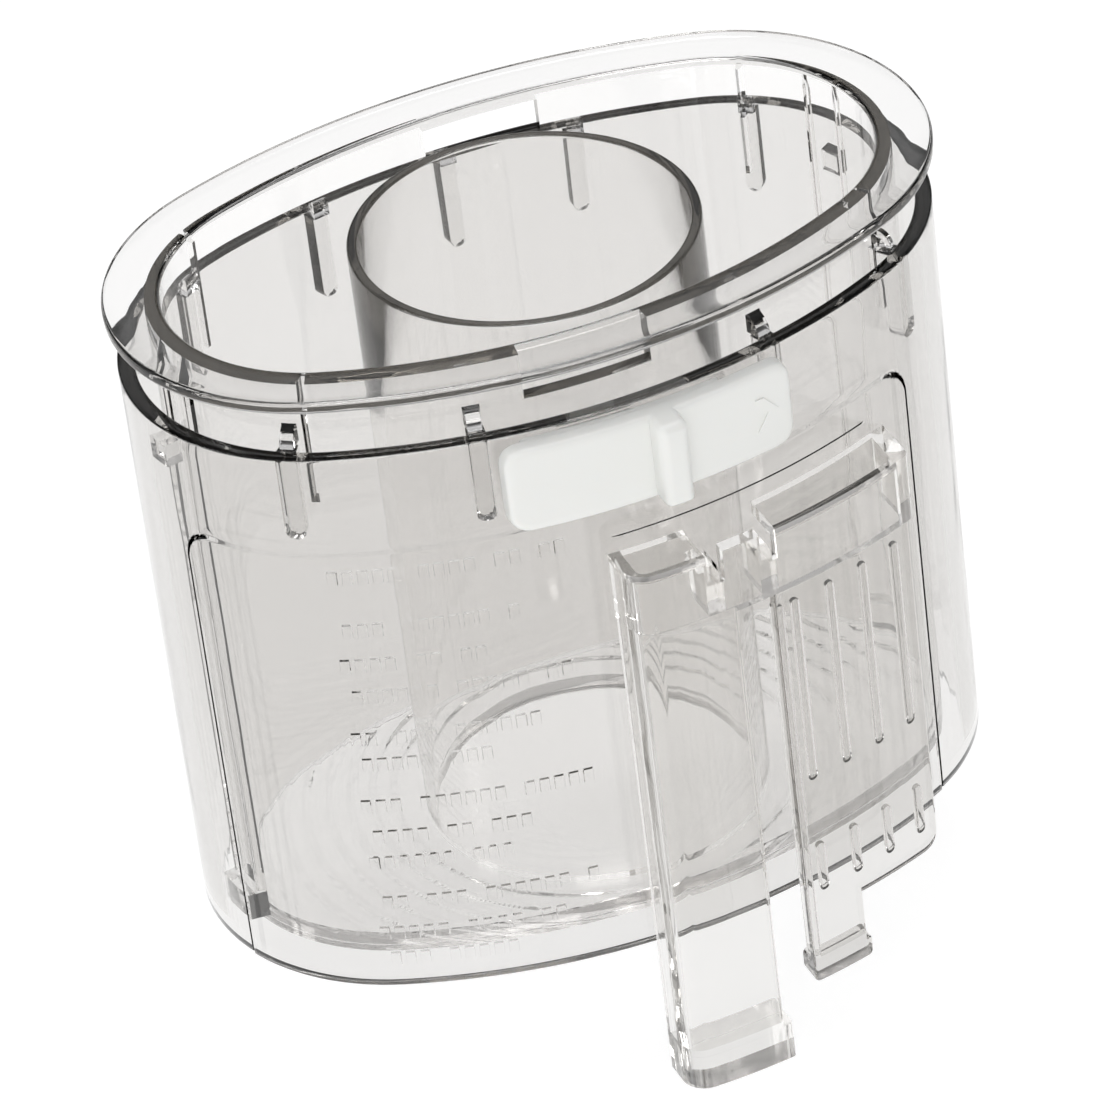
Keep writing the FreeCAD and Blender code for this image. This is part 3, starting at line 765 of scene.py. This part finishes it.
# %% Build the slide
slide_low, slide_high = node_box("lock_slide")
BAR_BACK, BAR_OUT = 1.6, 4.6
GRIP_X, GRIP_OUT = (-0.4, 4.6), 9.2
STEP_X, STEP_Z = (-20.0, 14.0), (89.6, 103.2)
NECK_X, NECK_Z = (-10.0, -2.0), (93.8, 98.2)
bar = soft_plate("bar", (slide_low.x, slide_high.x), (slide_low.z, slide_high.z), (BAR_BACK, BAR_OUT),
                 corner=3.2, face_round=1.1, back_round=0.3)
grip = soft_plate("grip", GRIP_X, (slide_low.z + 0.02, slide_high.z - 0.02), (BAR_BACK + 0.8, GRIP_OUT),
                  corner=1.2, face_round=1.9)
step = soft_plate("step", STEP_X, STEP_Z, (0.3, BAR_BACK + 0.6), corner=1.0, face_round=0.1)
neck = soft_plate("neck", NECK_X, NECK_Z, (-3.08, 0.8), corner=0.4, face_round=0.05)


def arrow_head(name, tip_x, middle_z, length, half_height, thickness, offsets):
    """Plain chevron that follows the curved front."""
    outline = [(tip_x, 0), (tip_x - length, half_height), (tip_x - length - thickness, half_height),
               (tip_x - thickness * 1.3, 0), (tip_x - length - thickness, -half_height),
               (tip_x - length, -half_height)]
    back = [front_point(x, offsets[0], middle_z + z) for x, z in outline]
    face = [front_point(x, offsets[1], middle_z + z) for x, z in outline]
    count = len(outline)
    faces = [(3, 2, 1, 0), (5, 4, 3, 0), (count + 0, count + 1, count + 2, count + 3),
             (count + 0, count + 3, count + 4, count + 5)]
    faces += [(i, (i + 1) % count, count + (i + 1) % count, count + i) for i in range(count)]
    return object_from(name, back + face, faces)


arrow = arrow_head("arrow", 22.2, 96.0, 2.6, 3.0, 1.5, (BAR_OUT - 0.6, BAR_OUT + 0.25))
slide = one_moulding("lock_slide_moulding", [bar, grip, step, neck, arrow])
smooth_normals(slide)
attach(slide, "lock")
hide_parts("lock_slide")
print("slide faces:", len(slide.data.polygons))


# %% [markdown]
# ## The bracket, the leg and its foot
# The bracket is a small gutter on the front of the panel: a ledge on top, a band in front
# and two notches. The long leg hangs from it as an open channel and ends in a closed foot
# that presses the safety switch. Its outlines are easiest in plan, so each part is a
# rounded plan outline pulled up to its height.

# %% Upright prism helper
def round_outline(corners, roundings, longest=2.0, steps=6):
    """Plan outline with rounded corners and no edge longer than a given length."""
    count = len(corners)
    outline = []
    for i in range(count):
        here = Vector(corners[i])
        before = (Vector(corners[i - 1]) - here).normalized()
        after = (Vector(corners[(i + 1) % count]) - here).normalized()
        radius = roundings[i]
        if radius <= 0:
            outline.append(here)
            continue
        centre = here + (before + after) * radius
        start = math.atan2(*(here + before * radius - centre).yx)
        end = math.atan2(*(here + after * radius - centre).yx)
        sweep = (end - start + math.pi) % (2 * math.pi) - math.pi
        for k in range(steps + 1):
            angle = start + sweep * k / steps
            outline.append(centre + radius * Vector((math.cos(angle), math.sin(angle))))
    full = []
    for a, b in zip(outline, outline[1:] + outline[:1]):
        parts = max(1, math.ceil((b - a).length / longest))
        full += [a.lerp(b, k / parts) for k in range(parts)]
    return full


def upright(name, corners, roundings, z_range):
    """Prism from a plan outline of (x, offset) corners between two heights."""
    outline = round_outline(corners, roundings)
    count = len(outline)
    points = [front_point(p.x, p.y, z) for z in z_range for p in outline]
    faces = [tuple(reversed(range(count))), tuple(range(count, 2 * count))]
    faces += [(i, (i + 1) % count, count + (i + 1) % count, count + i) for i in range(count)]
    return object_from(name, points, faces)


def upright_block(name, x_range, offsets, z_range, roundings=(0, 0, 0, 0)):
    """Prism with four corners, between two places across the front and two offsets."""
    (start, end), (near, far) = x_range, offsets
    return upright(name, [(start, near), (start, far), (end, far), (end, near)], roundings, z_range)


# %% Build the bracket, leg and foot
bracket_low, bracket_high = node_box("sleeve_bracket")
foot_low, foot_high = node_box("interlock_foot")
BRACKET_OUT = 9.2
BRACKET_IN = PANEL_PROUD + 0.04
LEG_BACK = 0.62
BAND = 2.4
LEG_WALL = 2.2
LEG_CORNER = 4.0
LEG_RIGHT = 9.2
WEBS = ((4.6, 7.6), (14.2, 17.2))
NOTCH_FOOT = bracket_high.z - 5.6
LEDGE = 2.4
LEDGE_OUT = 7.4
WELD = 0.4
left, right = bracket_low.x, bracket_high.x
gutter = upright("gutter", [(left, BRACKET_IN), (left, BRACKET_OUT), (right, BRACKET_OUT),
                            (right, BRACKET_IN), (right - BAND, BRACKET_IN),
                            (right - BAND, BRACKET_OUT - BAND), (left + BAND, BRACKET_OUT - BAND),
                            (left + BAND, BRACKET_IN)],
                 [0, LEG_CORNER, 1.0, 0, 0, 0.8, LEG_CORNER - BAND, 0],
                 (bracket_low.z, bracket_high.z))
ledge_x = ((left + 1, WEBS[0][1] - WELD), (WEBS[1][1] - WELD, right - 1))
ledge_z = (bracket_high.z - LEDGE, bracket_high.z - 0.01)
ledges = [upright_block("ledge", x_range, (BRACKET_IN, LEDGE_OUT), ledge_z, roundings)
          for x_range, roundings in zip(ledge_x, ([0, 2, 0, 0], [0, 0, 0, 0]))]
webs = [upright_block("web", x_range, (BRACKET_IN, LEDGE_OUT), (bracket_low.z + 0.01, NOTCH_FOOT + 1))
        for x_range in WEBS]
notches = [upright_block("notch", x_range, (-0.5, 11), (NOTCH_FOOT, bracket_high.z + 1))
           for x_range in WEBS]
leg = upright("leg", [(left, LEG_BACK), (left, BRACKET_OUT - 0.01), (LEG_RIGHT, BRACKET_OUT - 0.01),
                      (LEG_RIGHT, BRACKET_OUT - LEG_WALL), (left + LEG_WALL, BRACKET_OUT - LEG_WALL),
                      (left + LEG_WALL, LEG_BACK)],
              [0.3, LEG_CORNER, 0.4, 0.4, LEG_CORNER - LEG_WALL, 0.3],
              (foot_high.z - WELD, bracket_low.z + WELD))
foot = upright_block("foot", (left + 0.02, foot_high.x), (LEG_BACK, BRACKET_OUT - 0.03),
                     (foot_low.z, foot_high.z), [0.3, LEG_CORNER, 0.6, 0.6])
bracket = one_moulding("bracket_and_leg", [gutter] + ledges + webs + [leg, foot], notches)
bevel = bracket.modifiers.new("soft_edges", "BEVEL")
bevel.width = 0.35 * MM
bevel.segments = 3
bevel.limit_method = "ANGLE"
bevel.angle_limit = math.radians(50)
bevel.harden_normals = False
bake(bracket)
smooth_normals(bracket, 40)
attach(bracket, "sleeve")
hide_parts("sleeve_bracket", "interlock_leg", "interlock_foot")
print("bracket faces:", len(bracket.data.polygons))

# %% [markdown]
# ## The latch lever
# The lever is a thin press plate that flexes just under the bracket. It has four stiffening
# ribs, a shallow round dish for the thumb and a short leg with a hook. It is made from
# plates joined together, and the dish is cut with a large ball, which gives it a round
# outline and a shallow bowl at once.

# %% Build the lever
lever_low, lever_high = node_box("latch_lever")
LEVER_X = (16.2, 43.2)
LEVER_IN = 6.4
LEVER_OUT = 8.6
LEVER_RIBS_X = (20.0, 26.7, 33.3, 39.9)
LEVER_RIBS_Z = ((25.5, 61.5), (3.0, 12.5))
LEVER_RIB_HALF = 0.85
LEVER_RIB_DEPTH = (5.2, 6.9)
DISH_X, DISH_Z = 30.0, 19.0
DISH_RADIUS = 24.0
DISH_DEPTH = 1.45
BALL_STEPS = 72
blocks = [soft_plate("press_plate", LEVER_X, (-0.5, lever_high.z), (LEVER_IN, LEVER_OUT), corner=3.0,
                     face_round=0.5, back_round=0.2),
          soft_plate("short_leg", (LEVER_X[0], 26.8), (lever_low.z + 0.4, 8.0),
                     (LEVER_IN + 0.01, LEVER_OUT - 0.01), corner=0.6, face_round=0.5, back_round=0.2),
          soft_plate("hook", (LEVER_X[0], 27.8), (lever_low.z, lever_low.z + 4.0), (3.4, LEVER_OUT - 0.03),
                     corner=1.0, face_round=0.6, back_round=0.5),
          soft_plate("side_wall", (16.22, 17.9), (-11.0, 61.5), LEVER_RIB_DEPTH, corner=0.7,
                     face_round=0.1, back_round=0.5),
          soft_plate("top_left", (LEVER_X[0], 20.0), (58.0, lever_high.z - 0.01),
                     (LEVER_IN + 0.02, LEVER_OUT - 0.02), corner=0.4, face_round=0.4),
          soft_plate("top_right", (39.0, 43.19), (58.0, lever_high.z - 0.02),
                     (LEVER_IN + 0.03, LEVER_OUT - 0.03), corner=0.4, face_round=0.4)]
blocks += [soft_plate("rib", (x - LEVER_RIB_HALF, x + LEVER_RIB_HALF), z_range, LEVER_RIB_DEPTH,
                      corner=0.84, face_round=0.1, back_round=0.7)
           for x in LEVER_RIBS_X for z_range in LEVER_RIBS_Z]
dish_turn = math.asin(DISH_X / (front_radius + LEVER_OUT))
dish_out = Vector((math.sin(dish_turn), -math.cos(dish_turn), 0))
dish_centre = Vector(front_point(DISH_X, LEVER_OUT, DISH_Z)) + dish_out * (DISH_RADIUS - DISH_DEPTH)
UPRIGHT = Vector((0, 0, 1))
sideways = UPRIGHT.cross(dish_out)
ball_points = []
for a in np.radians(np.linspace(0, 32, 30))[1:]:
    middle = dish_centre - dish_out * DISH_RADIUS * math.cos(a)
    for t in np.linspace(0, 2 * math.pi, BALL_STEPS, endpoint=False):
        ball_points.append(middle + DISH_RADIUS * math.sin(a)
                           * (sideways * math.cos(t) + UPRIGHT * math.sin(t)))
last = len(ball_points) - BALL_STEPS
ball_faces = [tuple(range(BALL_STEPS))]
for first in range(0, last, BALL_STEPS):
    ball_faces += [tuple(reversed(q)) for q in quads_between(first, first + BALL_STEPS, BALL_STEPS)]
ball_faces.append(tuple(reversed(range(last, last + BALL_STEPS))))
ball = object_from("dish_ball", ball_points, ball_faces)
lever = one_moulding("latch_lever_moulding", blocks, [ball])
smooth_normals(lever, 30)
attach(lever, "lever")
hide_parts("latch_lever", "latch_ribs")
print("lever faces:", len(lever.data.polygons))


# %% [markdown]
# ## Clear plastic
# The mouldings are a clear, slightly smoky plastic. Clear plastic is a Principled shader
# with full transmission: the colour is the light that comes through one wall. Light also
# fades on its way inside the plastic. A wall is short to cross, so it stays clear, but a
# rim sends light the long way down the wall, so it goes nearly black. The floor plate has
# no such loss, because a long way through its slab would draw a dark band round the cup.
# Three procedural details keep it from looking like perfect glass: a faint cloudiness in
# the tint, a faint haze in patches, and slow ripples from the flow in the mould.

# %% Material helpers
def set_sockets(node, **values):
    """Sets the sockets of a node by name, with an underscore for each space."""
    for name, value in values.items():
        node.inputs[name.replace("_", " ")].default_value = value
    return node


def new_material(name):
    """A material, its node tree and its Principled shader."""
    material = bpy.data.materials.new(name)
    material.use_nodes = True
    return material, material.node_tree, material.node_tree.nodes["Principled BSDF"]


def noise_at(tree, scale, stretch, detail=2.0):
    """Noise in object space, drawn out along z where stretch is small."""
    where = tree.nodes.new("ShaderNodeTexCoord")
    mapping = set_sockets(tree.nodes.new("ShaderNodeMapping"), Scale=(1, 1, stretch))
    noise = set_sockets(tree.nodes.new("ShaderNodeTexNoise"), Scale=scale, Detail=detail)
    tree.links.new(where.outputs["Object"], mapping.inputs["Vector"])
    tree.links.new(mapping.outputs["Vector"], noise.inputs["Vector"])
    return noise.outputs["Fac"]


def between(tree, factor, low, high):
    """A value that follows a noise, from low to high."""
    spread = tree.nodes.new("ShaderNodeMapRange")
    set_sockets(spread, From_Min=0.3, From_Max=0.7, To_Min=low, To_Max=high)
    tree.links.new(factor, spread.inputs["Value"])
    return spread.outputs["Result"]


def blend_tones(tree, shader, factor, first, second):
    """Base colour that follows a noise, from one colour to another."""
    blend = tree.nodes.new("ShaderNodeMix")
    blend.data_type = "RGBA"
    set_sockets(blend, A=(*first, 1), B=(*second, 1))
    tree.links.new(factor, blend.inputs["Factor"])
    tree.links.new(blend.outputs["Result"], shader.inputs["Base Color"])


def add_bump(tree, shader, height, strength, distance):
    """Small unevenness of a surface, from a noise."""
    bump = set_sockets(tree.nodes.new("ShaderNodeBump"), Strength=strength, Distance=distance)
    tree.links.new(height, bump.inputs["Height"])
    tree.links.new(bump.outputs["Normal"], shader.inputs["Normal"])


# %% Clear plastic material
def clear_plastic(name, tint, absorb=0.0, ripple=0.05, stretch=1.0, haze=0.03):
    """Clear plastic; tint is what one wall lets through, absorb is the loss per metre inside."""
    material, tree, shader = new_material(name)
    set_sockets(shader, Transmission_Weight=1.0, IOR=1.5)
    patches = noise_at(tree, 60, stretch, 1.0)
    blend_tones(tree, shader, patches, [c * 0.988 for c in tint], tint)
    tree.links.new(between(tree, patches, 0.0, haze), shader.inputs["Roughness"])
    add_bump(tree, shader, noise_at(tree, 130, stretch, 1.0), ripple, 0.001)
    if absorb:
        smoke = tree.nodes.new("ShaderNodeVolumeAbsorption")
        set_sockets(smoke, Density=absorb, Color=(0.08, 0.05, 0.0, 1))
        tree.links.new(smoke.outputs["Volume"], tree.nodes["Material Output"].inputs["Volume"])
    return material


def give(piece, material):
    """Makes a material the only one of a piece."""
    piece.data.materials.clear()
    piece.data.materials.append(material)


give(sleeve, clear_plastic("clear_sleeve_plastic", (0.952, 0.947, 0.942), 46, stretch=0.3))
give(pusher, clear_plastic("clear_pusher_plastic", (0.996, 0.993, 0.99), 20, stretch=0.15))
give(plate, clear_plastic("clear_floor_plastic", (0.99, 0.987, 0.984), stretch=1.0))
give(tube, clear_plastic("clear_tube_plastic", (0.996, 0.993, 0.99), 20, ripple=0.04, stretch=0.02))
give(bracket, clear_plastic("clear_bracket_plastic", (0.90, 0.893, 0.88), 9, stretch=0.6))
give(lever, clear_plastic("clear_lever_plastic", (0.93, 0.923, 0.912), 42, stretch=0.2))
print("made:", ", ".join(m.name for m in bpy.data.materials if m.name.endswith("_plastic")))


# %% [markdown]
# ## White plastic for the lock
# The slide is a dense white plastic with a satin skin. It gets a barely warm white, a fine
# grain from the mould in the bump, and a little unevenness in the sheen where thumbs go.

# %% White plastic material
def white_plastic(name):
    """Dense white plastic with a satin skin."""
    material, tree, shader = new_material(name)
    blend_tones(tree, shader, noise_at(tree, 60, 1), (0.87, 0.875, 0.845), (0.89, 0.895, 0.87))
    tree.links.new(between(tree, noise_at(tree, 90, 1), 0.32, 0.44), shader.inputs["Roughness"])
    set_sockets(shader, Subsurface_Weight=0.15, Subsurface_Radius=(1.0, 0.9, 0.8), Subsurface_Scale=0.001)
    add_bump(tree, shader, noise_at(tree, 1800, 1, 3), 0.08, 0.0002)
    return material


white = white_plastic("white_lock_plastic")
give(slide, white)
give(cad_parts["lock_tongue"], white)

# %% [markdown]
# ## A light table and soft boxes
# Clear things are lit from behind or below, so that they are drawn by their dark edges
# against a bright ground. The floor is a sheet that glows, like a light table. Round it
# the studio is dim, which helps to turn the rims nearly black. One pale band part of the
# way up is mirrored by level faces, which gives the flange its gleam, and a few soft boxes
# leave clean white lines along the rounded edges.

# %% Floor
FLOOR_GAP = 0.0002
FLOOR_HALF = 2.5
floor_low = min(cad_box[0][2], foot_low.z * MM) - FLOOR_GAP
mesh = bpy.data.meshes.new("studio_floor")
corners = [(x * FLOOR_HALF, y * FLOOR_HALF, floor_low) for x, y in ((-1, -1), (1, -1), (1, 1), (-1, 1))]
mesh.from_pydata(corners, [], [(0, 1, 2, 3)])
floor = bpy.data.objects.new("studio_floor", mesh)
bpy.context.scene.collection.objects.link(floor)
pale, tree, shader = new_material("pale_light_table")
set_sockets(shader, Base_Color=(0.25, 0.25, 0.25, 1), Roughness=0.8, Specular_IOR_Level=0.1,
            Emission_Color=(1, 1, 1, 1), Emission_Strength=0.9)
mesh.materials.append(pale)

# %% Studio surround
world = bpy.data.worlds.new("studio")
bpy.context.scene.world = world
world.use_nodes = True
tree = world.node_tree
background = tree.nodes["Background"]
where = tree.nodes.new("ShaderNodeTexCoord")
parts = tree.nodes.new("ShaderNodeSeparateXYZ")
shade = tree.nodes.new("ShaderNodeValToRGB")
tree.links.new(where.outputs["Generated"], parts.inputs["Vector"])
tree.links.new(parts.outputs["Z"], shade.inputs["Fac"])
tree.links.new(shade.outputs["Color"], background.inputs["Color"])
stops = shade.color_ramp.elements
stops[0].color = (0.85, 0.85, 0.86, 1)
stops[1].color = (0.55, 0.55, 0.56, 1)
for height, glow in ((0.12, 0.5), (0.25, 0.06), (0.44, 0.06), (0.52, 0.6), (0.62, 0.6), (0.68, 0.06),
                     (0.76, 0.06), (0.86, 0.45)):
    stops.new(height).color = (glow, glow, glow * 1.01, 1)
background.inputs["Strength"].default_value = 1.0


def soft_box(name, place, size, watts, aim=(0, 0, 0.05)):
    """A soft lamp of a given width and height, turned toward a point."""
    light = bpy.data.lights.new(name, "AREA")
    light.shape = "RECTANGLE"
    light.size, light.size_y = size
    light.energy = watts
    holder = bpy.data.objects.new(name, light)
    bpy.context.scene.collection.objects.link(holder)
    holder.location = place
    holder.rotation_euler = (Vector(aim) - Vector(place)).to_track_quat("-Z", "Y").to_euler()


soft_box("front_box", (-0.5, -1.3, 0.9), (0.9, 0.5), 7)
soft_box("left_box", (-1.2, 0.3, 0.8), (0.35, 0.9), 4)
soft_box("top_box", (0.2, 0.2, 1.5), (0.7, 0.7), 6)

# %% [markdown]
# ## Camera
# A long lens from the front and a little to the left, looking down at about 35 degrees,
# and turned slightly about its own axis so that the oval leans. Light passes many faces of
# clear plastic before it comes here, so each ray is allowed many bounces.

# %% Place the camera
camera_data = bpy.data.cameras.new("camera")
camera = bpy.data.objects.new("camera", camera_data)
bpy.context.scene.collection.objects.link(camera)
SENSOR_WIDTH = 36
LENS = 241.7
DISTANCE = 1.2404
camera_data.sensor_width = SENSOR_WIDTH
camera_data.lens = LENS
swing, rise_angle, roll = (math.radians(a) for a in (-19.44, 35.01, -7.40))
target = Vector((0.00577, 0.02247, 0.0330))
level = Vector((math.cos(swing), math.sin(swing), 0))
back = Vector((math.sin(swing) * math.cos(rise_angle), -math.cos(swing) * math.cos(rise_angle),
               math.sin(rise_angle)))
upward = back.cross(level)
axes = Matrix((level * math.cos(roll) + upward * math.sin(roll),
               upward * math.cos(roll) - level * math.sin(roll), back))
place = target + back * DISTANCE
camera.matrix_world = Matrix.Translation(place) @ axes.transposed().to_4x4()
bpy.context.scene.camera = camera
bpy.context.scene.view_settings.view_transform = "Standard"
MOST_BOUNCES = 64
bpy.context.scene.cycles.max_bounces = MOST_BOUNCES
bpy.context.scene.cycles.transmission_bounces = MOST_BOUNCES
bpy.context.scene.cycles.glossy_bounces = MOST_BOUNCES
print("camera at", [round(v, 3) for v in place])
